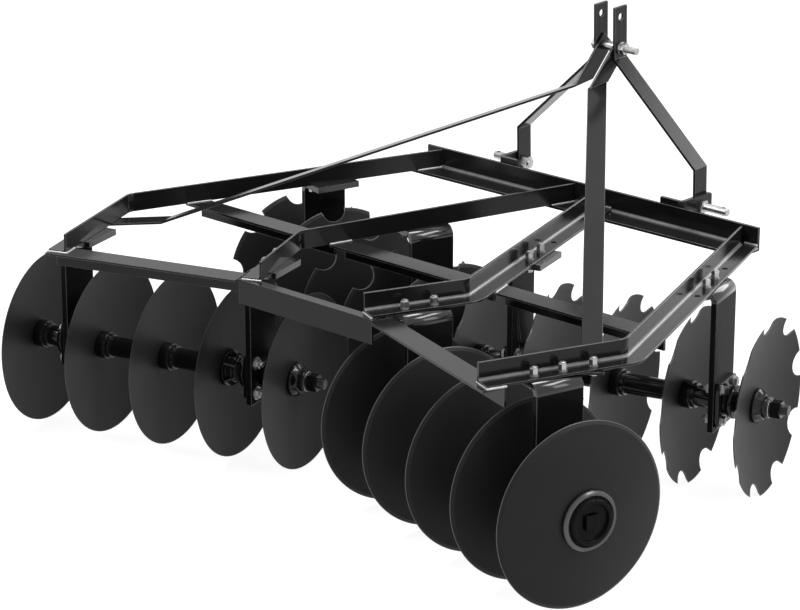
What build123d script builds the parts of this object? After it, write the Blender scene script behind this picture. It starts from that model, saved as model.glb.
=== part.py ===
from build123d import *
import math
import os

# Tandem disc harrow for a three-point hitch, millimetres, +X right, +Y forward, +Z up.
# The floor is z = 0 under the discs. While it is laid out, y = 0 is at the bend of the
# outer rails; at the end the whole is moved so that the middle of its box is at y = 0.

# Discs
disc_diameter = 457.2
disc_depth = 37.0
disc_thickness = 4.0
disc_flat_radius = 49.0
disc_bevel = 9.0
disc_spacing = 194.3
discs_per_gang = 5
notch_count = 9
notch_radius = 36.5
notch_bottom_radius = 195.5
notch_phase = 12.4

# Where each gang lies: the hub of its middle disc and the angle of its axle from the X axis
gang_angle = 15.4
front_hub_x = 406.0
front_hub_y = 514.5
rear_hub_x = 573.8
rear_hub_y = -132.2

# Axle, spools and end pieces
axle_square = 27.0
axle_clearance = 0.2
spool_radius = 26.5
spool_flare_radius = 36.0
spool_flare_length = 26.0
spool_ring_radius = 32.0
spool_ring_length = 12.0
journal_radius = 23.0
half_bell_radius = 48.0
half_bell_neck = 33.0
half_bell_rim = 8.0
half_bell_length = 34.0
rib_count = 6
rib_thickness = 6.0
washer_bell_radius = 44.0
washer_bell_length = 22.0
washer_bell_rim = 8.0
washer_bell_step = 3.0
sleeve_radius = 28.0
sleeve_length = 12.0
lock_washer_radius = 25.0
lock_washer_length = 8.0
nut_across_flats = 41.0
nut_length = 28.0
thread_radius = 13.5
thread_length = 18.0
end_bell_radius = 74.0
end_bell_flange = 5.0
end_bell_cup_radius = 54.0
end_bell_length = 18.0
end_bell_mouth_radius = 46.0
end_bell_mouth_depth = 9.0
end_bell_mouth_taper = 3.0
end_bell_waist_step = 4.0
plain_washer_radius = 35.0
plain_washer_length = 6.0
axle_head_square = 36.0
axle_head_length = 9.0

# Bearing housings and the hangers that carry them
bearing_flange = 116.0
bearing_flange_thickness = 12.0
bearing_corner_radius = 14.0
bearing_neck_radius = 37.0
bearing_lip_radius = 43.0
bearing_lip_length = 12.0
bearing_length = 36.0
bearing_clearance = 0.06
hanger_margin = 7.0
hanger_thickness = 15.9
hanger_bend_radius = 12.0
hanger_flange_length = 92.0
hanger_foot_margin = 10.0
hanger_hole_radius = 30.0
housing_gap = 3.0

# Angle irons of the frame
rail_leg = 50.8
rail_thickness = 6.4
rail_bend_radius = 30.0
rail_seat_z = 530.0
rail_root_fillet = 6.0
bar_wide_leg = 63.5
bar_leg = 50.8
rear_bar_lip = 29.0
bar_thickness = 6.4
beam_half_length = 573.5
beam_rear_face_y = 891.0
beam_height = 63.5
beam_depth = 80.0
beam_thickness = 8.0

# Rails in plan: rear end, bend and front direction of each rail's inner face
outer_rail_rear_x = 701.0
outer_rail_rear_y = -343.0
outer_rail_bend_x = 844.3
outer_rail_bend_y = 10.0
outer_rail_front_x = 517.5
inner_rail_rear_x = 174.2
inner_rail_rear_y = -162.5
inner_rail_bend_x = 283.5
inner_rail_bend_y = 88.0
inner_rail_front_x = 36.0

# Cross bars
mid_bar_rear_y = 167.0
rear_bar_y = -190.0
rear_bar_half_length = 228.0
side_bar_gap = 1.0
side_bar_step = 12.0
side_bar_length = 545.5
side_bar_sweep = 18.6

# Mast and hitch; the heights are those of the bends on the inner face
mast_bar_width = 50.8
mast_bar_thickness = 8.0
mast_y = 986.4
mast_lean = 1.6
mast_lean_z = 800.0
lug_gap = 57.3
lug_above_hole = 28.4
lug_hole_z = 1036.0
lug_hole_radius = 9.75
mast_upper_bend_below_hole = 115.0
mast_lower_bend_z = 668.5
mast_foot_z = 546.0
mast_foot_chamfer = 16.0
mast_leg_inner_x = 301.5
hitch_plate_thickness = 11.0
hitch_plate_reach = 127.0
hitch_plate_inner_arm = 74.0
hitch_plate_above_seat = 22.0
hitch_plate_height = 48.0
hitch_plate_bend_radius = 5.0
hitch_plate_corner_radius = 8.0
hitch_pin_radius = 11.0
hitch_pin_y = 986.0
hitch_pin_z = 569.0
hitch_pin_reach = 75.0
hitch_pin_collar_flats = 32.0
hitch_pin_collar_length = 9.0
hitch_pin_nut_length = 22.0
hitch_pin_thread = 5.0
pin_clearance = 0.3
cross_bolt_below_hole = 86.0
cross_bolt_radius = 9.5
cross_bolt_thread = 37.0
cross_nut_flats = 29.0
cross_nut_length = 14.0
cross_washer_radius = 17.0
cross_washer_length = 3.4
spacer_radius = 13.5

# Braces from the mast back to the outer rails: where the lower bend lies from the rail's bend,
# the long run's turn away from the Y axis, its fall and the tilt of its face
brace_width = 50.8
brace_thickness = 6.35
brace_past_bolt = 25.0
brace_tab_length = 192.0
brace_bend_inside = 114.7
brace_bend_ahead = 23.4
brace_turn = 39.1
brace_fold_below_bolt = 83.5
brace_tilt = 11.0

# Derived sizes
disc_radius = disc_diameter / 2
axle_z = disc_radius
hanger_width = bearing_flange + 2 * hanger_margin
hanger_foot_z = axle_z - bearing_flange / 2 - hanger_foot_margin
outer_rail = [
    (outer_rail_rear_x, outer_rail_rear_y),
    (outer_rail_bend_x, outer_rail_bend_y),
    (outer_rail_front_x, beam_rear_face_y),
]
inner_rail = [
    (inner_rail_rear_x, inner_rail_rear_y),
    (inner_rail_bend_x, inner_rail_bend_y),
    (inner_rail_front_x, beam_rear_face_y),
]

nodes = {}


def group(parts):
    """Separate solids of one node."""
    return Compound([solid for part in parts for solid in part.solids()])


def keep_pair(name, right_shape):
    """Store a right-hand piece and its mirror image."""
    nodes[name + "_right"] = right_shape
    nodes[name + "_left"] = mirror(right_shape, about=Plane.YZ)


def x_on(path, y):
    """The x of a rail's inner face at a given y."""
    for (x0, y0), (x1, y1) in zip(path, path[1:]):
        if y0 <= y <= y1:
            return x0 + (x1 - x0) * (y - y0) / (y1 - y0)
    raise ValueError("the rail doesn't reach this y")


def ring(r_out, x0, x1, r_in=0.0):
    """A disc or ring about the local X axis, from station x0 to x1."""
    body = Pos((x0 + x1) / 2, 0, 0) * Rot(0, 90, 0) * Cylinder(r_out, abs(x1 - x0))
    if r_in:
        body -= Pos((x0 + x1) / 2, 0, 0) * Rot(0, 90, 0) * Cylinder(r_in, abs(x1 - x0) + 2)
    return body


def turned(profile):
    """Revolve a list of (station, radius) points about the local X axis."""
    points = [(x, 0, r) for x, r in profile]
    return revolve(make_face(Polyline(*points, close=True)), Axis.X, 360)


def square_bar(side, x0, x1):
    return Pos((x0 + x1) / 2, 0, 0) * Box(abs(x1 - x0), side, side)


# Discs: a flat centre, a spherical dish that opens towards local +X and a ground edge
inner_centre = (disc_depth ** 2 - disc_thickness ** 2 + disc_radius ** 2 - disc_flat_radius ** 2) / (
    2 * (disc_depth - disc_thickness)
)
inner_sphere = math.hypot(disc_thickness - inner_centre, disc_flat_radius)
outer_sphere = inner_sphere + disc_thickness


def sphere_x(radius, r):
    return inner_centre - math.sqrt(radius ** 2 - r ** 2)


def disc(notched, phase):
    outer_flat = math.sqrt(outer_sphere ** 2 - inner_centre ** 2)
    back_radius = disc_radius - disc_bevel
    back_middle = (outer_flat + back_radius) / 2
    face_middle = (disc_flat_radius + disc_radius) / 2
    outline = [
        Line((0, 0, 0), (0, 0, outer_flat)),
        ThreePointArc(
            (0, 0, outer_flat),
            (sphere_x(outer_sphere, back_middle), 0, back_middle),
            (sphere_x(outer_sphere, back_radius), 0, back_radius),
        ),
        Line((sphere_x(outer_sphere, back_radius), 0, back_radius), (disc_depth, 0, disc_radius)),
        ThreePointArc(
            (disc_depth, 0, disc_radius),
            (sphere_x(inner_sphere, face_middle), 0, face_middle),
            (disc_thickness, 0, disc_flat_radius),
        ),
        Line((disc_thickness, 0, disc_flat_radius), (disc_thickness, 0, 0)),
        Line((disc_thickness, 0, 0), (0, 0, 0)),
    ]
    blade = revolve(make_face(outline), Axis.X, 360)
    blade -= square_bar(axle_square + 2 * axle_clearance, -1, disc_thickness + 1)
    if notched:
        notch_centre = notch_bottom_radius + notch_radius
        for k in range(notch_count):
            turn = math.radians(phase + 360 / notch_count * k)
            y = notch_centre * math.cos(turn)
            z = notch_centre * math.sin(turn)
            blade -= Pos(disc_depth / 2, y, z) * Rot(0, 90, 0) * Cylinder(notch_radius, 2 * disc_depth)
    return blade


# A gang in its own frame: local X along the axle towards the hollow side of the discs
disc_stations = [disc_spacing * (k - (discs_per_gang - 1) / 2) for k in range(discs_per_gang)]
nut_end = disc_stations[-1] + disc_thickness
plain_end = disc_stations[0]


def half_bell():
    """The ribbed foot of a bearing spool, standing on a disc at x = 0."""
    toe = half_bell_length
    body = ring(half_bell_radius, 0, half_bell_rim) + ring(half_bell_neck, 0, toe)
    for k in range(rib_count):
        low = half_bell_neck - 2
        web = make_face(Polyline((0, 0, low), (0, 0, half_bell_radius), (half_bell_rim, 0, half_bell_radius),
                                 (toe, 0, half_bell_neck), (toe, 0, low), close=True))
        body += Rot(360 / rib_count * k, 0, 0) * extrude(web, rib_thickness / 2, both=True)
    return body


def spool(x0, x1, journal=None):
    """A spool between two discs; a bearing one is turned down to a journal and stands on a ribbed bell."""
    flare = spool_flare_length
    collar = flare + spool_ring_length
    left = [(x0, 0), (x0, spool_flare_radius), (x0 + flare, spool_flare_radius),
            (x0 + flare, spool_ring_radius), (x0 + collar, spool_ring_radius), (x0 + collar, spool_radius)]
    right = [(x1 - collar, spool_radius), (x1 - collar, spool_ring_radius), (x1 - flare, spool_ring_radius),
             (x1 - flare, spool_flare_radius), (x1, spool_flare_radius), (x1, 0)]
    middle = []
    if journal:
        j0, j1 = journal
        if j0 < x0 + collar:
            left = [(x0, 0), (x0, spool_flare_radius), (j0, spool_flare_radius)]
            middle = [(j0, journal_radius), (j1, journal_radius), (j1, spool_radius)]
        elif j1 > x1 - collar:
            right = [(j1, spool_flare_radius), (x1, spool_flare_radius), (x1, 0)]
            middle = [(j0, spool_radius), (j0, journal_radius), (j1, journal_radius)]
        else:
            middle = [(j0, spool_radius), (j0, journal_radius), (j1, journal_radius), (j1, spool_radius)]
    body = turned(left + middle + right)
    if journal and j0 - x0 < x1 - j1:
        body += Pos(x0, 0, 0) * half_bell()
    elif journal:
        body += Pos(x1, 0, 0) * mirror(half_bell(), about=Plane.YZ)
    return body - square_bar(axle_square + 2 * axle_clearance, x0 - 1, x1 + 1)


def bearing_span(plate_x, side):
    """First and last station of the plate and the housing that is bolted to one of its faces."""
    face = plate_x + side * hanger_thickness / 2
    return sorted((plate_x - side * hanger_thickness / 2, face + side * bearing_length))


def spools(hangers):
    solids = []
    for x0, x1 in zip(disc_stations, disc_stations[1:]):
        start = x0 + disc_thickness
        journal = None
        for plate_x, side in hangers:
            if start < plate_x < x1:
                low, high = bearing_span(plate_x, side)
                journal = (low - housing_gap, high + housing_gap)
        solids.append(spool(start, x1, journal))
    return solids


def axle(deep_bell):
    """The square axle with its nut and sleeves at the hollow end and its head at the other."""
    tip = nut_end
    bar_start = plain_end - (end_bell_length - end_bell_mouth_depth if deep_bell else plain_washer_length)
    solids = [square_bar(axle_square, bar_start, nut_end + washer_bell_length + sleeve_length + lock_washer_length)]
    bell = turned([
        (tip, 0), (tip, washer_bell_radius), (tip + washer_bell_rim, washer_bell_radius),
        (tip + washer_bell_length, sleeve_radius + washer_bell_step), (tip + washer_bell_length, 0),
    ])
    solids.append(bell)
    tip += washer_bell_length
    solids.append(ring(sleeve_radius, tip, tip + sleeve_length))
    tip += sleeve_length
    solids.append(ring(lock_washer_radius, tip, tip + lock_washer_length))
    tip += lock_washer_length
    hexagon = Plane.YZ.offset(tip) * RegularPolygon(nut_across_flats / 2, 6, major_radius=False)
    solids.append(extrude(hexagon, nut_length))
    tip += nut_length
    solids.append(ring(thread_radius, tip, tip + thread_length))
    solids.append(square_bar(axle_head_square, bar_start - axle_head_length, bar_start))
    if not deep_bell:
        solids.append(ring(plain_washer_radius, bar_start, plain_end))
    whole = solids[0].fuse(*solids[1:])
    return whole


def end_bell():
    """The cast cup outside the last disc: a wide flange, a waist and a hollow mouth."""
    x = plain_end
    back = x - end_bell_length
    hole = axle_square * 0.75
    profile = [
        (x, hole), (x, end_bell_radius), (x - end_bell_flange, end_bell_radius),
        (x - end_bell_flange * 1.6, end_bell_cup_radius + end_bell_waist_step), (back, end_bell_cup_radius),
        (back, end_bell_mouth_radius), (back + end_bell_mouth_depth, end_bell_mouth_radius - end_bell_mouth_taper),
        (back + end_bell_mouth_depth, hole),
    ]
    return turned(profile)


def bearing_housing(plate_x, side):
    face = plate_x + side * hanger_thickness / 2
    square = Plane.YZ * RectangleRounded(bearing_flange, bearing_flange, bearing_corner_radius)
    body = extrude(square, bearing_flange_thickness)
    if side < 0:
        body = Pos(-bearing_flange_thickness, 0, 0) * body
    body = Pos(face, 0, 0) * body
    neck_end = face + side * (bearing_length - bearing_lip_length)
    body += ring(bearing_neck_radius, face, neck_end) + ring(bearing_lip_radius, neck_end, face + side * bearing_length)
    reach = side * (bearing_length + 2)
    return body - ring(journal_radius + bearing_clearance, face - side * 2, face + reach)


def hanger(plate_x, flange_side):
    """A flat bar bent over: it hangs in the plane across the axle and its top lies under the rail."""
    top = rail_seat_z - axle_z
    foot = hanger_foot_z - axle_z
    half = hanger_thickness / 2
    back = plate_x - flange_side * half
    front = plate_x + flange_side * half
    outer = hanger_bend_radius + hanger_thickness
    end = back + flange_side * hanger_flange_length
    corner = math.sqrt(0.5)
    outline = [
        Line((back, 0, foot), (back, 0, top - outer)),
        ThreePointArc(
            (back, 0, top - outer),
            (back + flange_side * outer * (1 - corner), 0, top - outer * (1 - corner)),
            (back + flange_side * outer, 0, top),
        ),
        Line((back + flange_side * outer, 0, top), (end, 0, top)),
        Line((end, 0, top), (end, 0, top - hanger_thickness)),
        Line((end, 0, top - hanger_thickness), (front + flange_side * hanger_bend_radius, 0, top - hanger_thickness)),
        ThreePointArc(
            (front + flange_side * hanger_bend_radius, 0, top - hanger_thickness),
            (front + flange_side * hanger_bend_radius * (1 - corner), 0,
             top - hanger_thickness - hanger_bend_radius * (1 - corner)),
            (front, 0, top - hanger_thickness - hanger_bend_radius),
        ),
        Line((front, 0, top - hanger_thickness - hanger_bend_radius), (front, 0, foot)),
        Line((front, 0, foot), (back, 0, foot)),
    ]
    strip = extrude(make_face(outline), hanger_width / 2, both=True)
    return strip - ring(hanger_hole_radius, plate_x - hanger_thickness, plate_x + hanger_thickness)


# Gangs of the right side: name, hub x, hub y, turn of local X, notched discs, deep end bell,
# and its hangers as (name, plate station, side of the housing, side of the flange)
gangs = [
    ("front", front_hub_x, front_hub_y, gang_angle, True, False,
     [("outer", 297.0, 1, -1), ("inner", -259.5, -1, 1)]),
    ("rear", rear_hub_x, rear_hub_y, 180 - gang_angle, False, True,
     [("outer", -260.0, -1, 1), ("inner", 294.0, -1, 1)]),
]

for name, hub_x, hub_y, turn, notched, deep_bell, hangers in gangs:
    place = Pos(hub_x, hub_y, axle_z) * Rot(0, 0, turn)
    stations = [(plate_x, side) for _, plate_x, side, _ in hangers]
    blades = [Pos(x, 0, 0) * disc(notched, notch_phase) for x in disc_stations]
    keep_pair(f"discs_{name}", place * group(blades))
    ends = [end_bell()] if deep_bell else []
    keep_pair(f"spools_{name}", place * group(spools(stations) + ends))
    keep_pair(f"axle_{name}", place * axle(deep_bell))
    housings = [bearing_housing(plate_x, side) for plate_x, side in stations]
    keep_pair(f"bearings_{name}", place * group(housings))
    for which, plate_x, side, flange_side in hangers:
        keep_pair(f"hanger_{name}_{which}", place * hanger(plate_x, flange_side))


# Frame: rails of angle iron with the upright leg on the inner side
def rail(path):
    (x0, y0), (x1, y1), (x2, y2) = path
    overrun = rail_leg * 1.5
    length = math.hypot(x2 - x1, y2 - y1)
    end = (x2 + (x2 - x1) / length * overrun, y2 + (y2 - y1) / length * overrun)
    line = FilletPolyline((x0, y0, rail_seat_z), (x1, y1, rail_seat_z), (end[0], end[1], rail_seat_z),
                          radius=rail_bend_radius)
    forward = Vector(x1 - x0, y1 - y0, 0).normalized()
    outward = Vector(forward.Y, -forward.X, 0)
    start = Plane(origin=(x0, y0, rail_seat_z), x_dir=outward, z_dir=forward)
    leg = rail_leg
    wall = rail_thickness
    points = [(0, 0), (leg, 0), (leg, -wall), (wall, -wall), (wall, -leg), (0, -leg)]
    section = make_face(Polyline(*points, close=True))
    root = section.vertices().sort_by_distance((wall, -wall))[0]
    section = fillet(root, rail_root_fillet)
    body = sweep(start * section, path=line)
    return split(body, Plane(origin=(0, y2, 0), z_dir=(0, 1, 0)), keep=Keep.BOTTOM)


keep_pair("rail_outer", rail(outer_rail))
keep_pair("rail_inner", rail(inner_rail))


def angle_bar(start, end, flat, leg, leg_in_front):
    """A straight angle: its flat on top reaches forward from the given line, its leg hangs at one edge."""
    direction = Vector(end[0] - start[0], end[1] - start[1], 0).normalized()
    across = Vector(-direction.Y, direction.X, 0)
    length = math.hypot(end[0] - start[0], end[1] - start[1])
    plane = Plane(origin=(start[0], start[1], rail_seat_z), x_dir=across, z_dir=direction)
    wall = bar_thickness
    points = [(0, 0), (flat, 0), (flat, -wall), (wall, -wall), (wall, -leg), (0, -leg)]
    if leg_in_front:
        points = [(flat - forward, down) for forward, down in points]
    section = make_face(Polyline(*points, close=True))
    return extrude(plane * section, length)


mid_outer_x = x_on(outer_rail, mid_bar_rear_y + bar_wide_leg) + rail_leg * 0.64
mid_gap_outer = x_on(inner_rail, mid_bar_rear_y) + rail_leg * 0.68
mid_gap_inner = x_on(inner_rail, mid_bar_rear_y + bar_wide_leg) + rail_leg * 0.35
keep_pair("crossbar_side", angle_bar(
    (mid_gap_outer, mid_bar_rear_y), (mid_outer_x, mid_bar_rear_y), bar_wide_leg, bar_leg, True))
nodes["crossbar_centre"] = angle_bar(
    (-mid_gap_inner, mid_bar_rear_y), (mid_gap_inner, mid_bar_rear_y), bar_wide_leg, bar_leg, True)
nodes["rear_bar_centre"] = angle_bar(
    (-rear_bar_half_length, rear_bar_y), (rear_bar_half_length, rear_bar_y), rear_bar_lip, bar_wide_leg, False)

side_bar_x = rear_bar_half_length + side_bar_gap
side_bar_y = rear_bar_y - side_bar_step
side_bar_end = (side_bar_x + side_bar_length * math.cos(math.radians(side_bar_sweep)),
                side_bar_y - side_bar_length * math.sin(math.radians(side_bar_sweep)))
keep_pair("rear_bar_side", angle_bar((side_bar_x, side_bar_y), side_bar_end, bar_wide_leg, bar_leg, True))

# Front beam: an angle with its upright leg in front
beam_front_y = beam_rear_face_y + beam_thickness
beam_bottom_z = rail_seat_z - beam_thickness
beam_points = [
    (beam_front_y, beam_bottom_z), (beam_front_y, beam_bottom_z + beam_height),
    (beam_rear_face_y, beam_bottom_z + beam_height), (beam_rear_face_y, rail_seat_z),
    (beam_front_y - beam_depth, rail_seat_z), (beam_front_y - beam_depth, beam_bottom_z),
]
beam_face = make_face(Polyline(*[(0, y, z) for y, z in beam_points], close=True))
nodes["front_beam"] = extrude(beam_face, beam_half_length, both=True)

# Mast: two flat bars that lean back a little and end in the top link lugs
lug_inner_x = lug_gap / 2
lug_outer_x = lug_inner_x + mast_bar_thickness
lug_top_z = lug_hole_z + lug_above_hole
mast_upper_bend_z = lug_hole_z - mast_upper_bend_below_hole
leg_outer_x = mast_leg_inner_x + mast_bar_thickness
slope = math.atan2(mast_upper_bend_z - mast_lower_bend_z, mast_leg_inner_x - lug_inner_x)
drop = mast_bar_thickness * math.tan((math.pi / 2 - slope) / 2)
mast_points = [
    (lug_inner_x, lug_top_z), (lug_outer_x, lug_top_z), (lug_outer_x, mast_upper_bend_z + drop),
    (leg_outer_x, mast_lower_bend_z + drop), (leg_outer_x, mast_foot_z), (mast_leg_inner_x, mast_foot_z),
    (mast_leg_inner_x, mast_lower_bend_z), (lug_inner_x, mast_upper_bend_z),
]
mast_face = make_face(Polyline(*[(x, mast_y, z) for x, z in mast_points], close=True))
mast_bar = extrude(mast_face, mast_bar_width / 2, both=True)
mast_bar = chamfer(mast_bar.edges().filter_by(Axis.X).group_by(Axis.Z)[0].sort_by(Axis.Y)[-1], mast_foot_chamfer)
mast_bar = Pos(0, mast_y, mast_lean_z) * Rot(mast_lean, 0, 0) * Pos(0, -mast_y, -mast_lean_z) * mast_bar


def mast_centre_y(z):
    return mast_y - (z - mast_lean_z) * math.tan(math.radians(mast_lean))


lug_hole_y = mast_centre_y(lug_hole_z)
cross_bolt_z = lug_hole_z - cross_bolt_below_hole
cross_bolt_y = mast_centre_y(cross_bolt_z)
pin_x = leg_outer_x + hitch_plate_thickness
lug_hole = Pos(0, lug_hole_y, lug_hole_z) * ring(lug_hole_radius, 0, pin_x)
bolt_hole = Pos(0, cross_bolt_y, cross_bolt_z) * ring(cross_bolt_radius + pin_clearance, 0, pin_x)
pin_hole = Pos(0, hitch_pin_y, hitch_pin_z) * ring(hitch_pin_radius + pin_clearance, 0, 2 * pin_x)
keep_pair("mast_bar", mast_bar - lug_hole - bolt_hole - pin_hole)

# Hitch brackets: bent bars with one arm on the beam's front face and one outside the mast's foot
arm_end_x = pin_x - hitch_plate_inner_arm
arm_front_y = beam_front_y + hitch_plate_thickness
plate_front_y = beam_front_y + hitch_plate_reach
bracket_face = make_face(Polyline(
    (arm_end_x, beam_front_y), (pin_x, beam_front_y), (pin_x, plate_front_y),
    (leg_outer_x, plate_front_y), (leg_outer_x, arm_front_y), (arm_end_x, arm_front_y), close=True))
bend = bracket_face.vertices().sort_by_distance((pin_x, beam_front_y))[0]
bracket_face = fillet(bend, hitch_plate_bend_radius + hitch_plate_thickness)
bend = bracket_face.vertices().sort_by_distance((leg_outer_x, arm_front_y))[0]
bracket_face = fillet(bend, hitch_plate_bend_radius)
bracket = extrude(Pos(0, 0, rail_seat_z + hitch_plate_above_seat) * bracket_face, hitch_plate_height)
front_top = bracket.edges().filter_by(Axis.X).group_by(Axis.Z)[-1].sort_by(Axis.Y)[-1]
bracket = fillet(front_top, hitch_plate_corner_radius)
keep_pair("hitch_plate", bracket - pin_hole)


def hexagon(flats, x0, x1):
    """A hexagonal nut or head about the local X axis, from station x0 to x1."""
    return extrude(Plane.YZ.offset(x0) * RegularPolygon(flats / 2, 6, major_radius=False), x1 - x0)


# Lower hitch pins: the shank through bracket and leg, a hexagon outside and a nut inside
pin_tip = pin_x + hitch_pin_collar_length + hitch_pin_reach
nut_x = mast_leg_inner_x - hitch_pin_nut_length
pin = ring(hitch_pin_radius, nut_x - hitch_pin_thread, pin_tip)
pin = chamfer(pin.edges().group_by(Axis.X)[-1], hitch_pin_radius / 5)
pin += hexagon(hitch_pin_collar_flats, pin_x, pin_x + hitch_pin_collar_length)
pin += hexagon(hitch_pin_collar_flats, nut_x, mast_leg_inner_x)
keep_pair("hitch_pin", Pos(0, hitch_pin_y, hitch_pin_z) * pin)

# Cross bolt: head on the left, nut on the right, and a sleeve that spaces the braces
brace_inner_x = lug_inner_x - brace_thickness
washer_end = lug_outer_x + cross_washer_length
bolt = ring(cross_bolt_radius, -washer_end, washer_end + cross_nut_length + cross_bolt_thread)
bolt += ring(spacer_radius, -brace_inner_x, brace_inner_x)
bolt += ring(cross_washer_radius, lug_outer_x, washer_end) + ring(cross_washer_radius, -washer_end, -lug_outer_x)
bolt += hexagon(cross_nut_flats, washer_end, washer_end + cross_nut_length)
bolt += hexagon(cross_nut_flats, -washer_end - cross_nut_length, -washer_end)
nodes["mast_bolt"] = Pos(0, cross_bolt_y, cross_bolt_z) * bolt

# Braces: flat bars, folded off the lug to lie face up, that fall to the rear and end level under the outer rail
low_bend = Vector(outer_rail_bend_x - brace_bend_inside, outer_rail_bend_y + brace_bend_ahead, rail_seat_z)
turn = math.radians(brace_turn)
run_rise = cross_bolt_z - brace_fold_below_bolt - rail_seat_z
fall = math.atan2(run_rise * math.sin(turn), low_bend.X - brace_inner_x)
tilt = math.radians(brace_tilt)
run_down = Vector(math.sin(turn) * math.cos(fall), -math.cos(turn) * math.cos(fall), -math.sin(fall))
level = Vector(math.cos(turn), math.sin(turn), 0)
run_across = level * math.cos(tilt) - run_down.cross(level) * math.sin(tilt)
run_up = run_down.cross(run_across)
run_length = (low_bend.X - brace_inner_x) / run_down.X
run_start = low_bend + run_down * 2 * brace_width - run_up * (brace_thickness / 2)
run = extrude(Plane(origin=run_start, x_dir=run_across, z_dir=-run_down) * Rectangle(brace_width, brace_thickness),
              run_length + 4 * brace_width)
run = split(run, Plane(origin=(0, 0, rail_seat_z - brace_thickness), z_dir=(0, 0, 1)), keep=Keep.TOP)
run = split(run, Plane(origin=(brace_inner_x, 0, 0), z_dir=(1, 0, 0)), keep=Keep.TOP)


def flap(centre, fold, along, reach):
    """The face of a square-ended flap that leaves the fold line through a centre point."""
    half = brace_width / 2 / math.sqrt(1 - fold.dot(along) ** 2)
    corners = []
    for end in (1, -1):
        start = centre + fold * (end * half)
        corners.append((start, start + along * (reach - end * half * fold.dot(along))))
    (start_1, end_1), (start_2, end_2) = corners
    return make_face(Polyline(start_1, end_1, end_2, start_2, close=True))


# Level tab: it leaves the crease where the run's lower face comes down to the tab's
crease = (run_across - run_down * (run_across.Z / run_down.Z)).normalized()
meeting = crease.dot(run_down)
tab_along = crease * meeting + Vector(crease.Y, -crease.X, 0) * math.sqrt(1 - meeting ** 2)
low_centre = low_bend - run_up * brace_thickness
low_centre += run_down * ((rail_seat_z - brace_thickness - low_centre.Z) / run_down.Z)
tab = extrude(flap(low_centre, crease, tab_along, brace_tab_length), brace_thickness, dir=(0, 0, 1))

# Upright end: it leaves the fold where the run's lower face meets the end's inner face
fold = (run_across - run_down * (run_across.X / run_down.X)).normalized()
meeting = -fold.dot(run_down)
end_along = fold * meeting + Vector(0, -fold.Z, fold.Y) * math.sqrt(1 - meeting ** 2)
high_centre = low_bend - run_up * brace_thickness
high_centre += run_down * ((brace_inner_x - high_centre.X) / run_down.X)
bolt_from_fold = Vector(brace_inner_x, cross_bolt_y, cross_bolt_z) - high_centre
reach = bolt_from_fold.dot(end_along) + brace_past_bolt
upright = extrude(flap(high_centre, fold, end_along, reach), brace_thickness, dir=(1, 0, 0))
keep_pair("brace", run + tab + upright - bolt_hole)

boxes = [shape.bounding_box() for shape in nodes.values()]
centre_y = (min(box.min.Y for box in boxes) + max(box.max.Y for box in boxes)) / 2

if __name__ == "__main__":
    os.makedirs("parts", exist_ok=True)
    for name, shape in nodes.items():
        export_step(Pos(0, -centre_y, 0) * shape, f"parts/{name}.step")
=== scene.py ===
import math

import bmesh
import bpy
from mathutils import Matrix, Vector


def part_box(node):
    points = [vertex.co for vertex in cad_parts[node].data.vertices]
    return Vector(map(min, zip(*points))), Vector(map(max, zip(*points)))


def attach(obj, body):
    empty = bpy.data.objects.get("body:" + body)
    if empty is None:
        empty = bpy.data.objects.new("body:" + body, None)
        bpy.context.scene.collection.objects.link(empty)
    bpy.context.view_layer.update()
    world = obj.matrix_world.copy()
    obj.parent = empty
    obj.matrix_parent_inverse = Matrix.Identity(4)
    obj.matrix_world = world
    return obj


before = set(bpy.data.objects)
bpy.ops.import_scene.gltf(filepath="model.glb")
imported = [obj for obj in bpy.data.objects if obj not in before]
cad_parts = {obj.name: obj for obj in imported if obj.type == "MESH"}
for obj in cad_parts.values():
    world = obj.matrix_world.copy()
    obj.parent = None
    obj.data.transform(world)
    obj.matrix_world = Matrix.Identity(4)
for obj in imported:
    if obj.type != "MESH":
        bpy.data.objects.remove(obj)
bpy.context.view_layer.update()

# Discs: dished steel blades in four gangs, notched in front and smooth behind. They are
# painted a dark satin grey, rolled in fine rings, and ground along every cutting edge.
DISC_DARKER = (0.01763, 0.017958, 0.018614, 1)
DISC_LIGHTER = (0.02623, 0.026718, 0.027694, 1)
DISC_EDGE = (0.110, 0.110, 0.110, 1)
RINGS_PER_METRE = 900
DISC_RADIUS = 0.2286
GROUND_WIDTH = 0.0018
NOTCH_PITCH = math.radians(40)
NOTCH_PHASE = math.radians(12.4)
NOTCH_CENTRE = 0.232
NOTCH_RADIUS = 0.0365
GANG_TURN = math.radians(15.4)
BEAM_FRONT = 0.899
y_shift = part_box("front_beam")[1].y - BEAM_FRONT


def placed(x, y, z):
    """A point given in millimetres from the bend of the outer rails, in the frame of the part."""
    return Vector((x / 1000, y / 1000 + y_shift, z / 1000))


class Value:
    """A number that changes over a surface, on which ordinary arithmetic builds Math nodes."""

    def __init__(self, finish, socket):
        self.finish = finish
        self.socket = socket

    def math(self, operation, *others):
        links = [other.socket if isinstance(other, Value) else other for other in others]
        made = self.finish.node("ShaderNodeMath", [self.socket, *links], operation=operation)
        return Value(self.finish, made)

    def __add__(self, other):
        return self.math("ADD", other)

    __radd__ = __add__

    def __mul__(self, other):
        return self.math("MULTIPLY", other)

    def __sub__(self, other):
        return self.math("SUBTRACT", other)

    def __rsub__(self, other):
        return (self * -1).math("ADD", other)

    def __truediv__(self, other):
        return self.math("DIVIDE", other)

    def __gt__(self, other):
        return self.math("GREATER_THAN", other)

    def __lt__(self, other):
        return self.math("LESS_THAN", other)


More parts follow.
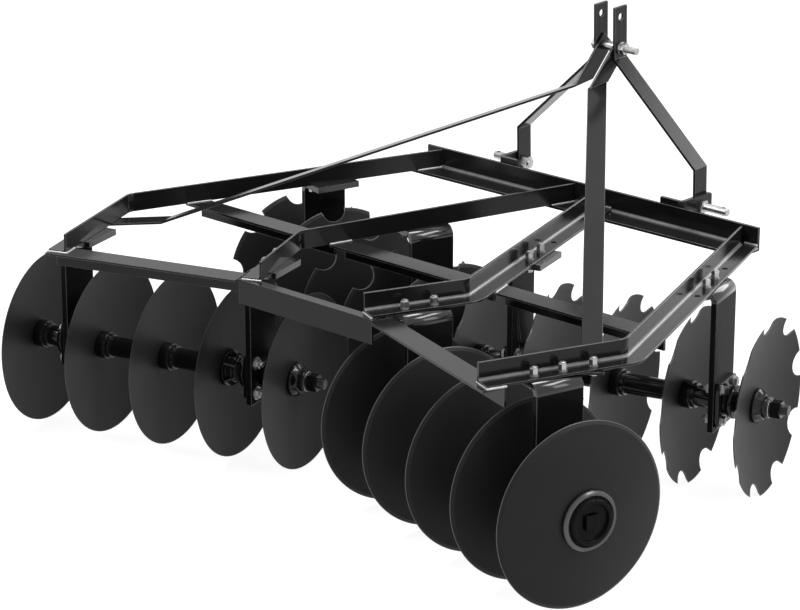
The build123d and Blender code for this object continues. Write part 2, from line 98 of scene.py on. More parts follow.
class Finish:
    """One surface finish: a material whose nodes are added one by one."""

    def __init__(self, name, **uniform):
        self.material = bpy.data.materials.new(name)
        self.material.use_nodes = True
        self.tree = self.material.node_tree
        self.shader = self.tree.nodes["Principled BSDF"]
        for socket, value in uniform.items():
            self.shader.inputs[socket.replace("_", " ")].default_value = value

    def node(self, kind, sockets, out=0, **settings):
        made = self.tree.nodes.new(kind)
        for setting, value in settings.items():
            setattr(made, setting, value)
        pairs = sockets.items() if isinstance(sockets, dict) else enumerate(sockets)
        for key, value in pairs:
            if isinstance(value, bpy.types.NodeSocket):
                self.tree.links.new(value, made.inputs[key])
            else:
                made.inputs[key].default_value = value
        return made.outputs[out]

    def place(self):
        return self.node("ShaderNodeTexCoord", [], out=3)

    def noise(self, where, scale, detail):
        made = self.node("ShaderNodeTexNoise", {"Vector": where, "Scale": scale, "Detail": detail})
        return Value(self, made)

    def blend(self, mask, first, second):
        sockets = {0: mask.socket, 6: first, 7: second}
        return self.node("ShaderNodeMix", sockets, out=2, data_type="RGBA")

    def along(self, offset, direction):
        made = self.node("ShaderNodeVectorMath", [offset, tuple(direction)], out=1,
                         operation="DOT_PRODUCT")
        return Value(self, made)

    def feed(self, socket, value):
        source = value.socket if isinstance(value, Value) else value
        self.tree.links.new(source, self.shader.inputs[socket])

    def bump(self, height, distance):
        sockets = {"Height": height.socket, "Distance": distance}
        self.feed("Normal", self.node("ShaderNodeBump", sockets))


def disc_finish(name, centre, axis, notched):
    finish = Finish(name, Specular_IOR_Level=0.15)
    where = finish.place()
    offset = finish.node("ShaderNodeVectorMath", [where, tuple(centre)], operation="SUBTRACT")
    level = finish.along(offset, Vector((-axis.y, axis.x, 0)) * math.copysign(1, axis.x))
    height = finish.along(offset, (0, 0, 1))
    radius = (level * level + height * height).math("SQRT")
    ground = radius > DISC_RADIUS - GROUND_WIDTH
    if notched:
        angle = height.math("ARCTAN2", level) - NOTCH_PHASE
        angle = angle - (angle / NOTCH_PITCH).math("ROUND") * NOTCH_PITCH
        near = radius * angle.math("COSINE") - NOTCH_CENTRE
        beside = radius * angle.math("SINE")
        away = (near * near + beside * beside).math("SQRT")
        ground = ground.math("MAXIMUM", away < NOTCH_RADIUS + GROUND_WIDTH)
    outward = finish.node("ShaderNodeCombineXYZ", [(radius * RINGS_PER_METRE).socket, 0.0, 0.0])
    rings = finish.noise(outward, 1.0, 2.0)
    cloud = finish.noise(where, 9.0, 5.0)
    grime = finish.noise(where, 70.0, 4.0)
    steel = finish.blend(cloud, DISC_DARKER, DISC_LIGHTER)
    finish.feed("Base Color", finish.blend(ground, steel, DISC_EDGE))
    finish.feed("Metallic", ground * 0.5)
    finish.feed("Roughness", 0.44 + rings * 0.06 + grime * 0.05 - ground * 0.14)
    finish.bump(rings * 0.6 + grime * 0.4, 0.00012)
    return finish.material


GANGS = {"front": (placed(406.0, 514.5, 228.6), GANG_TURN, True),
         "rear": (placed(573.8, -132.2, 228.6), math.pi - GANG_TURN, False)}
gang_lines = {}
for gang, (hub, turn, notched) in GANGS.items():
    for side, sign in (("right", 1), ("left", -1)):
        centre = Vector((sign * hub.x, hub.y, hub.z))
        axis = Vector((sign * math.cos(turn), math.sin(turn), 0))
        gang_lines[f"{gang}_{side}"] = (centre, axis)
        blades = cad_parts[f"discs_{gang}_{side}"].data.materials
        blades.clear()
        blades.append(disc_finish(f"disc_grey_{gang}_{side}", centre, axis, notched))


# Axles, spools, bearings and end bells: iron castings on a square bar, dipped in gloss black.
# The castings keep the fine grain of the sand, and the paint pools a little in it. Only the
# faces of the two rear end bells are matt.
CAST_BLACKS = ((0.006, 0.006, 0.0065, 1), (0.013, 0.013, 0.014, 1))
DIP_GLOSS = 0.45
BELL_FACE_START = 0.378
BELL_FACE_RADIUS = 0.0605
SAME_POINT = 0.00001
SHARP_EDGE = math.radians(35)
CAST_ROUND = 0.0012


def cast_finish(name, line=None):
    """A dipped casting. Where a gang's line is given, the face of its end bell stays matt."""
    finish = Finish(name, Specular_IOR_Level=0.05, Coat_Weight=DIP_GLOSS, Coat_Roughness=0.13)
    where = finish.place()
    sand = finish.noise(where, 420.0, 4.0)
    pool = finish.noise(where, 26.0, 3.0)
    finish.feed("Base Color", finish.blend(pool, *CAST_BLACKS))
    finish.feed("Roughness", 0.10 + pool * 0.10)
    if line:
        centre, axis = line
        offset = finish.node("ShaderNodeVectorMath", [where, tuple(centre)], operation="SUBTRACT")
        level = finish.along(offset, (-axis.y, axis.x, 0))
        height = finish.along(offset, (0, 0, 1))
        inside = (level * level + height * height).math("SQRT") < BELL_FACE_RADIUS
        face = inside * (finish.along(offset, -axis) > BELL_FACE_START)
        finish.feed("Coat Weight", (1 - face) * DIP_GLOSS)
    finish.bump(sand * 0.4 + pool, 0.0002)
    return finish.material


def rounded(node, width, edge_slot, held=False):
    """Melts a node's loose triangles together and rounds its sharp edges, on modifiers alone."""
    join = node.modifiers.new("join", "WELD")
    join.merge_threshold = SAME_POINT
    soft = node.modifiers.new("soft", "BEVEL")
    soft.width = width
    soft.segments = 2
    soft.limit_method = "ANGLE"
    soft.angle_limit = SHARP_EDGE
    soft.use_clamp_overlap = held
    soft.harden_normals = True
    soft.material = edge_slot


cast_black = cast_finish("cast_black")
bell_black = {line: cast_finish(f"cast_black_{line}", gang_lines[line])
              for line in ("rear_right", "rear_left")}
for name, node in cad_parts.items():
    if name.startswith(("spools", "axle", "bearings")):
        node.data.materials.clear()
        node.data.materials.append(bell_black.get(name.split("_", 1)[1], cast_black))
        rounded(node, CAST_ROUND, 0)


# Frame: rails, cross bars, beam, mast, braces, brackets and hangers of rolled steel in gloss
# black paint. Each rounded edge gets a lighter, partly metallic grey: partly worn paint and partly
# a painted highlight, a fine light line along the edge.
# The hangers are duller, and shine only over their bends.
PAINT_BLACKS = ((0.008, 0.008, 0.0084, 1), (0.015, 0.015, 0.0157, 1))
# Greys of the rounded edges: partly worn paint, partly a painted highlight.
EDGE_WEAR_AND_HIGHLIGHT_GREYS = ((0.030, 0.030, 0.031, 1), (0.130, 0.130, 0.130, 1))
EDGE_ROUND = 0.0013
HANGER_BEND_FOOT = 0.501
FRAMEWORK = ("rail", "crossbar", "rear_bar", "front_beam", "mast_bar", "brace", "hitch_plate",
             "hanger")


def paint_finish(name, gloss, bend_coat=0.0):
    finish = Finish(name, Specular_IOR_Level=gloss, Coat_Roughness=0.12)
    where = finish.place()
    peel = finish.noise(where, 160.0, 2.0)
    wave = finish.noise(where, 12.0, 4.0)
    finish.feed("Base Color", finish.blend(wave, *PAINT_BLACKS))
    finish.feed("Roughness", 0.11 + wave * 0.10)
    if bend_coat:
        over_bend = finish.along(where, (0, 0, 1)) > HANGER_BEND_FOOT
        finish.feed("Coat Weight", over_bend * bend_coat)
    finish.bump(peel * 0.15 + wave * 0.5, 0.0002)
    return finish.material


# Edge finish: a lighter grey on every rounded edge, part wear and part painted highlight.
def edge_wear_and_highlight_finish(name):
    finish = Finish(name, Specular_IOR_Level=0.5)
    where = finish.place()
    wear_and_glint = finish.noise(where, 90.0, 4.0)
    finish.feed("Base Color", finish.blend(wear_and_glint, *EDGE_WEAR_AND_HIGHLIGHT_GREYS))
    finish.feed("Metallic", wear_and_glint * 0.5)
    finish.feed("Roughness", 0.22 + wear_and_glint * 0.14)
    return finish.material


gloss_black = paint_finish("gloss_black", 0.22)
hanger_black = paint_finish("hanger_black", 0.02, bend_coat=1.0)
worn_and_highlit_edge = edge_wear_and_highlight_finish("worn_and_highlit_edge")
for name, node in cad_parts.items():
    if name.startswith(FRAMEWORK):
        node.data.materials.clear()
        node.data.materials.append(hanger_black if name.startswith("hanger") else gloss_black)
        node.data.materials.append(worn_and_highlit_edge)
        rounded(node, EDGE_ROUND, 1, held=name.startswith("hitch_plate"))


# Roots of the rails and of the front beam: the rolled fillet between flat and upright leg.
# A strip laid over it is coloured light grey: a painted highlight, a light line along the whole
# bar.
RAIL_TOP = 536.4
RAIL_THICKNESS = 6.4
RAIL_BEND_RADIUS = 30.0
OUTER_RAIL = ((701.0, -343.0), (844.3, 10.0), (517.5, 891.0))
INNER_RAIL = ((174.2, -162.5), (283.5, 88.0), (36.0, 891.0))
BEAM_FACE = 891.0
BEAM_HALF = 573.5
BEAM_SEAT = 530.0
# Light greys of the root strips: a painted highlight.
ROOT_HIGHLIGHT_GREYS = ((0.085, 0.085, 0.086, 1), (0.24, 0.24, 0.24, 1))
ROOT_RADIUS = 6.6
ROOT_END_GAP = 20.0
ROOT_STEPS = 6
BEND_STEPS = 6


# Root strip finish: light grey and glossy, a painted highlight along each fillet.
def root_highlight_finish(name):
    finish = Finish(name, Specular_IOR_Level=0.6)
    where = finish.place()
    highlight_streaks = finish.noise(where, 45.0, 4.0)
    finish.feed("Base Color", finish.blend(highlight_streaks, *ROOT_HIGHLIGHT_GREYS))
    finish.feed("Roughness", 0.16 + highlight_streaks * 0.14)
    return finish.material


def rail_stations(rail):
    """Plan points on a rail's inner face from rear to front, each with its outward direction."""
    rear, bend, front = (Vector(point) for point in rail)
    first, second = (bend - rear).normalized(), (front - bend).normalized()
    half = first.angle(second) / 2
    pull = RAIL_BEND_RADIUS * math.tan(half)
    outward = Vector((first.y, -first.x))
    pivot = bend - first * pull - outward * RAIL_BEND_RADIUS
    stations = [(rear, outward)]
    for step in range(BEND_STEPS + 1):
        swing = 2 * half * step / BEND_STEPS
        turned = Vector((outward.x * math.cos(swing) - outward.y * math.sin(swing),
                         outward.x * math.sin(swing) + outward.y * math.cos(swing)))
        stations.append((pivot + turned * RAIL_BEND_RADIUS, turned))
    stations.append((front - second * ROOT_END_GAP, Vector((second.y, -second.x))))
    return stations


def root_strip(name, stations, leg, base, mirrored):
    """A concave fillet between an upright leg and a flat, swept along plan stations."""
    section = [(0.0, 0.0)]
    for step in range(ROOT_STEPS + 1):
        swing = math.pi / 2 * step / ROOT_STEPS
        away, rise = 1 - math.sin(swing), 1 - math.cos(swing)
        section.append((ROOT_RADIUS * away, ROOT_RADIUS * rise))
    strip = bmesh.new()
    rims = []
    for spot, outward in stations:
        spots = [(spot + outward * (leg + away), base + rise) for away, rise in section]
        rims.append([strip.verts.new(placed(mirrored * plan.x, plan.y, z)) for plan, z in spots])
    for near, far in zip(rims, rims[1:]):
        for here in range(len(section)):
            after = (here + 1) % len(section)
            strip.faces.new((near[here], near[after], far[after], far[here]))
    strip.faces.new(rims[0])
    strip.faces.new(rims[-1])
    bmesh.ops.recalc_face_normals(strip, faces=strip.faces)
    piece = bpy.data.objects.new(name, bpy.data.meshes.new(name))
    strip.to_mesh(piece.data)
    strip.free()
    piece.data.materials.append(painted_root_highlight)
    bpy.context.scene.collection.objects.link(piece)
    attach(piece, "frame")


# The root strips' light grey finish is a painted highlight.
painted_root_highlight = root_highlight_finish("painted_root_highlight")
for side, mirrored in (("right", 1), ("left", -1)):
    for place, rail in (("outer", OUTER_RAIL), ("inner", INNER_RAIL)):
        stations = rail_stations(rail)
        root_strip(f"rail_root_{place}_{side}", stations, RAIL_THICKNESS, RAIL_TOP, mirrored)
beam_ends = [(Vector((x, BEAM_FACE)), Vector((0.0, -1.0))) for x in (-BEAM_HALF, BEAM_HALF)]
root_strip("beam_root", beam_ends, 0.0, BEAM_SEAT, 1)


# Pins and mast bolt: turned steel, zinc plated, with faint marks of the lathe and a rolled
# thread on the ends of the bolt. The same plating covers every nut and washer of the frame.
ZINC_GREYS = ((0.30, 0.30, 0.295, 1), (0.52, 0.52, 0.51, 1))
THREAD_PITCH = 0.0025
BOLT_THREAD_START = 0.0555
NEVER = 9.0
PIN_ROUND = 0.0009


def zinc_finish(name, thread_from):
    finish = Finish(name, Metallic=1.0)
    where = finish.place()
    cloud = finish.noise(where, 60.0, 4.0)
    scuff = finish.noise(where, 700.0, 2.0)
    finish.feed("Base Color", finish.blend(cloud, *ZINC_GREYS))
    finish.feed("Roughness", 0.22 + cloud * 0.18)
    across = finish.along(where, (1, 0, 0))
    ridge = (across * (2 * math.pi / THREAD_PITCH)).math("SINE")
    thread = ridge * (across.math("ABSOLUTE") > thread_from)
    finish.bump(scuff * 0.15 + thread * 0.5, 0.0004)
    return finish.material


zinc = zinc_finish("zinc_plate", NEVER)
zinc_thread = zinc_finish("zinc_thread", BOLT_THREAD_START)
for name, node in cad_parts.items():
    if name.startswith(("hitch_pin", "mast_bolt")):
        node.data.materials.clear()
        node.data.materials.append(zinc if name.startswith("hitch") else zinc_thread)
        rounded(node, PIN_ROUND, 0)


# Frame bolts: nuts on washers, each with the end of its bolt, where a hanger or a brace is
# bolted under a rail, and the bolt's head below. They are zinc plated.
RAIL_MIDDLE = 28.6
RAIL_SEAT = 530.0
HANGER_UNDERSIDE = 514.1
BRACE_UNDERSIDE = 523.65
BOLTS = ((OUTER_RAIL, -250.0, HANGER_UNDERSIDE), (OUTER_RAIL, -176.0, HANGER_UNDERSIDE),
         (OUTER_RAIL, -96.0, BRACE_UNDERSIDE), (OUTER_RAIL, 552.0, HANGER_UNDERSIDE),
         (OUTER_RAIL, 626.0, HANGER_UNDERSIDE), (INNER_RAIL, -176.0, HANGER_UNDERSIDE),
         (INNER_RAIL, -98.0, HANGER_UNDERSIDE), (INNER_RAIL, 326.0, HANGER_UNDERSIDE),
         (INNER_RAIL, 398.0, HANGER_UNDERSIDE))
FRAME_NUT = {"Corner Radius": 0.0108, "Nut Height": 0.019, "Washer Radius": 0.0116,
             "Washer Height": 0.0015, "Bolt Radius": 0.0068, "Bolt Height": 0.0025}
FRAME_HEAD = {"Corner Radius": 0.0106, "Nut Height": 0.008, "Washer Radius": 0.0115,
              "Washer Height": 0.002, "Bolt Radius": 0.0030, "Bolt Height": 0.0004}
HEXAGON = 6
NUT_SIDE = 0.85
NUT_CROWN = 0.86
WASHER_SIDES = 24
BOLT_SIDES = 14
BOLT_SIDE = 0.8
BOLT_POINT = 0.8


def on_rail(rail, station):
    """The plan place on the middle of a rail, at a distance ahead of its bend or behind it."""
    rear, bend, front = (Vector(point) for point in rail)
    ahead = (front - bend if station > 0 else bend - rear).normalized()
    return bend + ahead * station + Vector((ahead.y, -ahead.x)) * RAIL_MIDDLE


class Growth:
    """A tree of geometry nodes that sets one small part on every point or line of a mesh."""

    node = Finish.node

    def __init__(self, name, sizes):
        self.tree = bpy.data.node_groups.new(name, "GeometryNodeTree")
        sockets = self.tree.interface
        sockets.new_socket("Geometry", in_out="INPUT", socket_type="NodeSocketGeometry")
        sockets.new_socket("Geometry", in_out="OUTPUT", socket_type="NodeSocketGeometry")
        for size in sizes:
            sockets.new_socket(size, in_out="INPUT", socket_type="NodeSocketFloat")
        sockets.new_socket("Finish", in_out="INPUT", socket_type="NodeSocketMaterial")
        self.given = self.tree.nodes.new("NodeGroupInput").outputs

    def size(self, name):
        return Value(self, self.given[name])

    def joined(self, *parts):
        made = self.tree.nodes.new("GeometryNodeJoinGeometry")
        for part in parts:
            self.tree.links.new(part, made.inputs[0])
        return made.outputs[0]

    def lifted(self, geometry, height):
        rise = self.node("ShaderNodeCombineXYZ", {"Z": height.socket})
        return self.node("GeometryNodeTransform", {"Geometry": geometry, "Translation": rise})

    def cylinder(self, vertices, radius, depth):
        return self.node("GeometryNodeMeshCylinder", {
            "Vertices": vertices, "Radius": radius.socket, "Depth": depth.socket})

    def cone(self, vertices, bottom, top, depth):
        return self.node("GeometryNodeMeshCone", {
            "Vertices": vertices, "Radius Bottom": bottom.socket, "Radius Top": top.socket,
            "Depth": depth.socket})

    def set_on_points(self, piece):
        axis = self.node("GeometryNodeInputNamedAttribute", {"Name": "axis"},
                         data_type="FLOAT_VECTOR")
        turn = self.node("FunctionNodeAlignRotationToVector", {"Vector": axis}, axis="Z")
        return self.closed(self.node("GeometryNodeInstanceOnPoints", {
            "Points": self.given["Geometry"], "Instance": piece, "Rotation": turn}))

    def closed(self, geometry):
        real = self.node("GeometryNodeRealizeInstances", [geometry])
        painted = self.node("GeometryNodeSetMaterial", {
            "Geometry": real, "Material": self.given["Finish"]})
        self.tree.links.new(painted, self.tree.nodes.new("NodeGroupOutput").inputs[0])
        return self.tree


def grown(name, tree, points, axes, edges, sizes, finish, body):
    """Runs a tree on a bare mesh, and keeps its result as a plain mesh that rides on a body."""
    bare = bpy.data.meshes.new(name + "_bare")
    bare.from_pydata([tuple(point) for point in points], edges, [])
    direction = bare.attributes.new("axis", "FLOAT_VECTOR", "POINT")
    direction.data.foreach_set("vector", [number for axis in axes for number in axis])
    source = bpy.data.objects.new(name + "_bare", bare)
    bpy.context.scene.collection.objects.link(source)
    modifier = source.modifiers.new("growth", "NODES")
    modifier.node_group = tree
    inputs = {**sizes, "Finish": finish}
    for item in tree.interface.items_tree:
        if item.in_out == "INPUT" and item.name in inputs:
            modifier[item.identifier] = inputs[item.name]
    bpy.context.view_layer.update()
    shaped = source.evaluated_get(bpy.context.evaluated_depsgraph_get())
    whole = bpy.data.meshes.new_from_object(shaped)
    bpy.data.objects.remove(source)
    piece = bpy.data.objects.new(name, whole)
    bpy.context.scene.collection.objects.link(piece)
    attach(piece, body)


def fastener_tree():
    growth = Growth("fastener", FRAME_NUT)
    corner, nut, washer_radius, washer, bolt, rise = (growth.size(name) for name in FRAME_NUT)
    disc = growth.cylinder(WASHER_SIDES, washer_radius, washer)
    block = growth.cylinder(HEXAGON, corner, nut * NUT_SIDE)
    crown = growth.cone(HEXAGON, corner, corner * NUT_CROWN, nut * (1 - NUT_SIDE))
    shank = growth.cylinder(BOLT_SIDES, bolt, rise * BOLT_SIDE)
    point = growth.cone(BOLT_SIDES, bolt, bolt * BOLT_POINT, rise * (1 - BOLT_SIDE))
    return growth.set_on_points(growth.joined(
        growth.lifted(disc, washer / 2),
        growth.lifted(block, washer + nut * (NUT_SIDE / 2)),
        growth.lifted(crown, washer + nut * NUT_SIDE),
        growth.lifted(shank, washer + nut + rise * (BOLT_SIDE / 2)),
        growth.lifted(point, washer + nut + rise * BOLT_SIDE)))


fastener = fastener_tree()
tops, undersides = [], []
for rail, station, underside in BOLTS:
    spot = on_rail(rail, station)
    for sign in (1, -1):
        tops.append(placed(sign * spot.x, spot.y, RAIL_TOP))
        undersides.append(placed(sign * spot.x, spot.y, underside))
upward, downward = [(0, 0, 1)] * len(tops), [(0, 0, -1)] * len(tops)
grown("rail_nuts", fastener, tops, upward, [], FRAME_NUT, zinc, "frame")
grown("rail_bolt_heads", fastener, undersides, downward, [], FRAME_HEAD, zinc, "frame")


# Spare bolt holes: punched through the flats of the rails beside the bolts, so that the
# gangs can be set at another angle, and through the tips of the hitch pins for a clip.
# Each hole is drawn as a near-black plug in the steel: painted shade in place of the open hole,
# with a faint rusty tint.
HOLES = ((OUTER_RAIL, -288.0), (OUTER_RAIL, -212.0), (OUTER_RAIL, 478.0), (OUTER_RAIL, 711.0),
         (INNER_RAIL, 485.0))
RAIL_HOLE = {"Radius": 0.0078, "Reach": 0.00335}
PIN_HOLE = {"Radius": 0.0042, "Reach": 0.0112}
PIN_TIP = placed(391.0, 986.0, 569.0)
HOLE_SIDES = 20
HOLE_RIM = 0.9
HOLE_BEVEL = 0.02
# Near-blacks of the hole plugs: painted shade.
HOLE_SHADE_BLACKS = ((0.0015, 0.0015, 0.0015, 1), (0.006, 0.005, 0.004, 1))


def hole_shade_finish(name):
    finish = Finish(name, Specular_IOR_Level=0.1)
    rust_in_shade = finish.noise(finish.place(), 300.0, 3.0)
    finish.feed("Base Color", finish.blend(rust_in_shade, *HOLE_SHADE_BLACKS))
    finish.feed("Roughness", 0.7 + rust_in_shade * 0.2)
    return finish.material


def hole_tree():
    growth = Growth("hole", RAIL_HOLE)
    radius, reach = (growth.size(name) for name in RAIL_HOLE)
    rim = growth.cone(HOLE_SIDES, radius, radius * HOLE_RIM, reach * HOLE_BEVEL)
    return growth.set_on_points(growth.joined(
        growth.cylinder(HOLE_SIDES, radius, reach * 2), growth.lifted(rim, reach)))


hole = hole_tree()
# Dark plug finish for the holes: painted shade.
dark = hole_shade_finish("hole_painted_shade")
middles = []
for rail, station in HOLES:
    spot = on_rail(rail, station)
    for sign in (1, -1):
        middles.append(placed(sign * spot.x, spot.y, (RAIL_TOP + RAIL_SEAT) / 2))
tips = [Vector((sign * PIN_TIP.x, PIN_TIP.y, PIN_TIP.z)) for sign in (1, -1)]
drilled = (("rail_holes", middles, RAIL_HOLE), ("hitch_pin_holes", tips, PIN_HOLE))
for name, places, sizes in drilled:
    upward = [(0, 0, 1)] * len(places)
    grown(name, hole, places, upward, [], sizes, dark, "frame")


# Bearing bolts: four through each bearing flange and its hanger. Their heads lie on the
# flange of the housing, and their nuts on wide washers on the hanger's free face.
HANGER_PLATES = {"front": ((297.0, 1), (-259.5, -1)), "rear": ((-260.0, -1), (294.0, -1))}
HANGER_HALF = 0.00795
BEARING_FLANGE = 0.012
BEARING_BOLT_REACH = 0.040
BEARING_NUT = {"Corner Radius": 0.0125, "Nut Height": 0.011, "Washer Radius": 0.0180,
               "Washer Height": 0.003, "Bolt Radius": 0.0068, "Bolt Height": 0.008}
BEARING_HEAD = {"Corner Radius": 0.0125, "Nut Height": 0.009, "Washer Radius": 0.0140,
                "Washer Height": 0.002, "Bolt Radius": 0.0040, "Bolt Height": 0.0004}
nuts, nut_axes, heads, head_axes = [], [], [], []
for line, (centre, axis) in gang_lines.items():
    across = Vector((-axis.y, axis.x, 0))
    for station, side in HANGER_PLATES[line.split("_")[0]]:
        for step in (-1, 1):
            for rise in (-1, 1):
                corner = (across * step + Vector((0, 0, rise))) * BEARING_BOLT_REACH
                bolt = centre + axis * station / 1000 + corner
                nuts.append(bolt - axis * side * HANGER_HALF)
                nut_axes.append(tuple(axis * -side))
                heads.append(bolt + axis * side * (HANGER_HALF + BEARING_FLANGE))
                head_axes.append(tuple(axis * side))
grown("bearing_nuts", fastener, nuts, nut_axes, [], BEARING_NUT, zinc, "frame")
grown("bearing_bolt_heads", fastener, heads, head_axes, [], BEARING_HEAD, zinc, "frame")


# Axle nuts: under each one a zinc plated lock washer on the sleeve, and inside it a cast
# bell with six ridges. The end bells of the rear gangs have a polished lip around their cup,
# turned with narrow bevels.
LOCK_WASHER = {"Radius": 0.0258, "Thickness": 0.0055}
BELL_RIDGES = {"Foot Radius": 0.0455, "Toe Radius": 0.0360, "Length": 0.0160}
END_BELL_LIP = {"Radius": 0.0663, "Roll Radius": 0.0076}
LIP_BLACKS = ((0.006, 0.006, 0.0065, 1), (0.020, 0.020, 0.020, 1))
LIP_BEVELS = 8
LIP_SIDES = 96
END_BELL_STATION = -0.3925
LOCK_WASHER_STATION = 0.4306
BELL_STATION = 0.3996
LOCK_WASHER_SIDES = 40
WASHER_BEVEL = 0.15
WASHER_CROWN = 0.96
RIDGES = 6
RIDGE_CROWN = 0.93
RIDGE_BEVEL = 0.06


def lock_washer_tree():
    growth = Growth("lock_washer", LOCK_WASHER)
    radius, thickness = (growth.size(name) for name in LOCK_WASHER)
    crown, bevel, side = radius * WASHER_CROWN, thickness * WASHER_BEVEL, 1 - 2 * WASHER_BEVEL
    upper = growth.cone(LOCK_WASHER_SIDES, radius, crown, bevel)
    lower = growth.cone(LOCK_WASHER_SIDES, crown, radius, bevel)
    return growth.set_on_points(growth.joined(
        growth.cylinder(LOCK_WASHER_SIDES, radius, thickness * side),
        growth.lifted(upper, thickness * (side / 2)),
        growth.lifted(lower, thickness * -0.5)))


def ridge_tree():
    growth = Growth("bell_ridges", BELL_RIDGES)
    foot, toe, length = (growth.size(name) for name in BELL_RIDGES)
    return growth.set_on_points(growth.joined(
        growth.cone(RIDGES, foot, toe, length),
        growth.lifted(growth.cone(RIDGES, toe, toe * RIDGE_CROWN, length * RIDGE_BEVEL), length)))


def turned_lip_tree():
    growth = Growth("turned_lip", END_BELL_LIP)
    path = growth.node("GeometryNodeCurvePrimitiveCircle", {
        "Resolution": LIP_SIDES, "Radius": growth.given["Radius"]})
    bevels = growth.node("GeometryNodeCurvePrimitiveCircle", {
        "Resolution": LIP_BEVELS, "Radius": growth.given["Roll Radius"]})
    section = growth.node("GeometryNodeTransform", {
        "Geometry": bevels, "Rotation": (0, 0, math.pi / LIP_BEVELS)})
    ring = growth.node("GeometryNodeCurveToMesh", {"Curve": path, "Profile Curve": section})
    flat = growth.node("GeometryNodeSetShadeSmooth", {"Geometry": ring, "Shade Smooth": False})
    return growth.set_on_points(flat)


def lip_finish(name):
    finish = Finish(name, Specular_IOR_Level=0.9)
    polish = finish.noise(finish.place(), 38.0, 3.0)
    finish.feed("Base Color", finish.blend(polish, *LIP_BLACKS))
    finish.feed("Roughness", 0.24 + polish * 0.08)
    return finish.material


polished_lip = lip_finish("polished_lip")
lock_washer = lock_washer_tree()
ridges = ridge_tree()
turned_lip = turned_lip_tree()
for line, (centre, axis) in gang_lines.items():
    body, along_axle = f"gang_{line}", [tuple(axis)]
    grown(f"lock_washer_{line}", lock_washer, [centre + axis * LOCK_WASHER_STATION], along_axle, [],
          LOCK_WASHER, zinc, body)
    grown(f"bell_ridges_{line}", ridges, [centre + axis * BELL_STATION], along_axle, [],
          BELL_RIDGES, cast_black, body)
    if line.startswith("rear"):
        end = [centre + axis * END_BELL_STATION]
        grown(f"end_bell_lip_{line}", turned_lip, end, along_axle, [],
              END_BELL_LIP, polished_lip, body)


# Weld beads: the rails are welded to the cross bars, the rear bars and the beam. Each bead
# is a row of overlapping ripples of bright filler steel along the edge that it joins.
WELD_GREYS = ((0.26, 0.26, 0.26, 1), (0.62, 0.62, 0.60, 1))
WELD_BEAD = {"Bead Radius": 0.0038, "Ripple Pitch": 0.0034}
RIPPLE_FLATNESS = 0.7
RIPPLE_SEGMENTS = 8
RIPPLE_RINGS = 5


def weld_finish(name):
    finish = Finish(name, Metallic=0.85)
    where = finish.place()
    heat = finish.noise(where, 120.0, 4.0)
    finish.feed("Base Color", finish.blend(heat, *WELD_GREYS))
    finish.feed("Roughness", 0.30 + heat * 0.2)
    finish.bump(heat, 0.0002)
    return finish.material


def weld_tree():
    growth = Growth("weld", WELD_BEAD)
    line = growth.node("GeometryNodeMeshToCurve", {"Mesh": growth.given["Geometry"]})
    steps = growth.node("GeometryNodeResampleCurve", {
        "Curve": line, "Length": growth.given["Ripple Pitch"]}, mode="LENGTH")
    ripple = growth.node("GeometryNodeMeshUVSphere", {
        "Segments": RIPPLE_SEGMENTS, "Rings": RIPPLE_RINGS, "Radius": growth.given["Bead Radius"]})
    flat = growth.node("GeometryNodeTransform", {
        "Geometry": ripple, "Scale": (1.0, 1.0, RIPPLE_FLATNESS)})
    run = growth.node("FunctionNodeAlignRotationToVector", {
        "Vector": growth.node("GeometryNodeInputTangent", [])}, axis="Z")
    return growth.closed(growth.node("GeometryNodeInstanceOnPoints", {
        "Points": steps, "Instance": flat, "Rotation": run}))


WELDS = (
    ((718.5, -299.8, 530.0), (701.0, -343.0, 530.0)),
    ((704.0, -344.5, 530.0), (748.1, -362.1, 530.0)),
    ((766.0, -317.5, 530.0), (748.1, -362.1, 530.0)),
    ((177.0, -164.0, 530.0), (220.8, -182.8, 530.0)),
    ((786.0, 168.0, 530.0), (762.5, 229.5, 530.0)),
    ((256.5, 170.0, 530.0), (239.6, 229.5, 530.0)),
    ((312.3, 168.0, 530.0), (292.8, 229.5, 530.0)),
    ((534.0, 890.0, 537.4), (571.0, 890.0, 537.4)),
    ((52.0, 890.0, 537.4), (88.0, 890.0, 537.4)),
    ((543.5, 822.0, 530.0), (518.5, 889.0, 530.0)),
    ((57.5, 822.0, 530.0), (37.0, 889.0, 530.0)),
    ((572.5, 864.0, 530.0), (572.5, 888.0, 530.0)),
)
points, edges = [], []
for line in WELDS:
    for sign in (1, -1):
        edges.append((len(points), len(points) + 1))
        points += [placed(sign * x, y, z) for x, y, z in line]
grown("weld_beads", weld_tree(), points, [(0, 0, 1)] * len(points), edges, WELD_BEAD,
      weld_finish("weld_steel"), "frame")


# Camera: it stands to the right behind the harrow and a little above it, with a long lens.
# Three soft boxes hang over the harrow, before it and beside it, and two strips brighten the
# edges from above and from behind. The floor is pale.
CAMERA_PLACE = placed(5139.0, -5397.0, 3021.0)
CAMERA_PITCH = math.radians(18.918)
CAMERA_TURN = math.radians(42.778)
camera_data = bpy.data.cameras.new("camera")
camera_data.lens = 141.87
camera_data.sensor_width = 36.0
camera_data.clip_end = 100.0
camera = bpy.data.objects.new("camera", camera_data)
camera.location = CAMERA_PLACE
camera.rotation_euler = (math.pi / 2 - CAMERA_PITCH, 0, CAMERA_TURN)
bpy.context.scene.collection.objects.link(camera)
bpy.context.scene.camera = camera

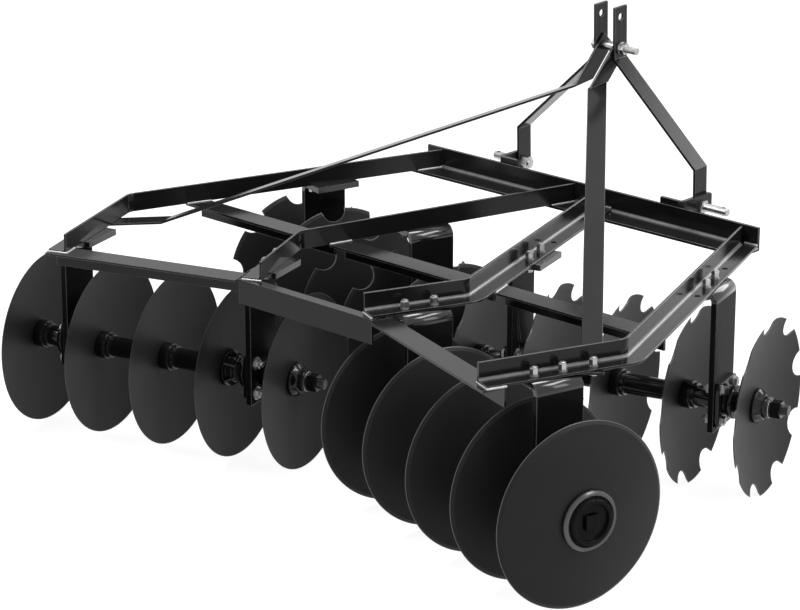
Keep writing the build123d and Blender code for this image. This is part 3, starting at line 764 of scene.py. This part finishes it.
SOFT_BOXES = (
    ("over", (0.0, 1.2, 5.0), (1.3, 1.3), 80),
    ("before", (0.7, 5.0, 2.9), (2.4, 2.4), 95),
    ("beside", (5.0, 1.5, 2.6), (1.6, 1.6), 30),
    ("high_strip", (2.9, 1.75, 4.4), (3.0, 0.9), 100),
    ("rear_strip", (-1.9, -1.8, 4.1), (3.0, 0.6), 95),
)
LAMP_TARGET = Vector((0, 0, 0.35))
for name, spot, (width, depth), power in SOFT_BOXES:
    lamp_data = bpy.data.lights.new(name, "AREA")
    lamp_data.shape = "RECTANGLE"
    lamp_data.size = width
    lamp_data.size_y = depth
    lamp_data.energy = power
    lamp = bpy.data.objects.new(name, lamp_data)
    lamp.location = spot
    lamp.rotation_euler = (LAMP_TARGET - Vector(spot)).to_track_quat("-Z", "Y").to_euler()
    bpy.context.scene.collection.objects.link(lamp)


def seen_directly(tree):
    """1 for camera, glossy and transmitted rays, and 0 for the light that falls on things."""
    path = tree.nodes.new("ShaderNodeLightPath")
    total = path.outputs["Is Camera Ray"]
    for ray in ("Is Glossy Ray", "Is Transmission Ray"):
        most = tree.nodes.new("ShaderNodeMath")
        most.operation = "MAXIMUM"
        tree.links.new(total, most.inputs[0])
        tree.links.new(path.outputs[ray], most.inputs[1])
        total = most.outputs[0]
    return total


AMBIENT = 0.37
FLOOR_SIZE = 60
FLOOR_GREY = (0.32, 0.32, 0.32, 1)
FLOOR_GLOW = 0.90
world = bpy.data.worlds.new("studio")
bpy.context.scene.world = world
world.use_nodes = True
sky = world.node_tree.nodes["Background"]
sky.inputs["Color"].default_value = (1, 1, 1, 1)
level = world.node_tree.nodes.new("ShaderNodeMapRange")
level.inputs["To Min"].default_value = AMBIENT
level.inputs["To Max"].default_value = 1.0
world.node_tree.links.new(seen_directly(world.node_tree), level.inputs["Value"])
world.node_tree.links.new(level.outputs[0], sky.inputs["Strength"])

bpy.ops.mesh.primitive_plane_add(size=FLOOR_SIZE, location=(0, 0, 0))
floor = bpy.context.object
floor.name = "floor"
floor_finish = bpy.data.materials.new("pale_floor")
floor_finish.use_nodes = True
floor_tree = floor_finish.node_tree
floor_shader = floor_tree.nodes["Principled BSDF"]
floor_shader.inputs["Base Color"].default_value = FLOOR_GREY
floor_shader.inputs["Roughness"].default_value = 0.9
floor_shader.inputs["Specular IOR Level"].default_value = 0.0
floor_shader.inputs["Emission Color"].default_value = (1, 1, 1, 1)
glow = floor_tree.nodes.new("ShaderNodeMath")
glow.operation = "MULTIPLY"
glow.inputs[1].default_value = FLOOR_GLOW
floor_tree.links.new(seen_directly(floor_tree), glow.inputs[0])
floor_tree.links.new(glow.outputs[0], floor_shader.inputs["Emission Strength"])
floor.data.materials.append(floor_finish)
bpy.context.scene.view_settings.view_transform = "Standard"
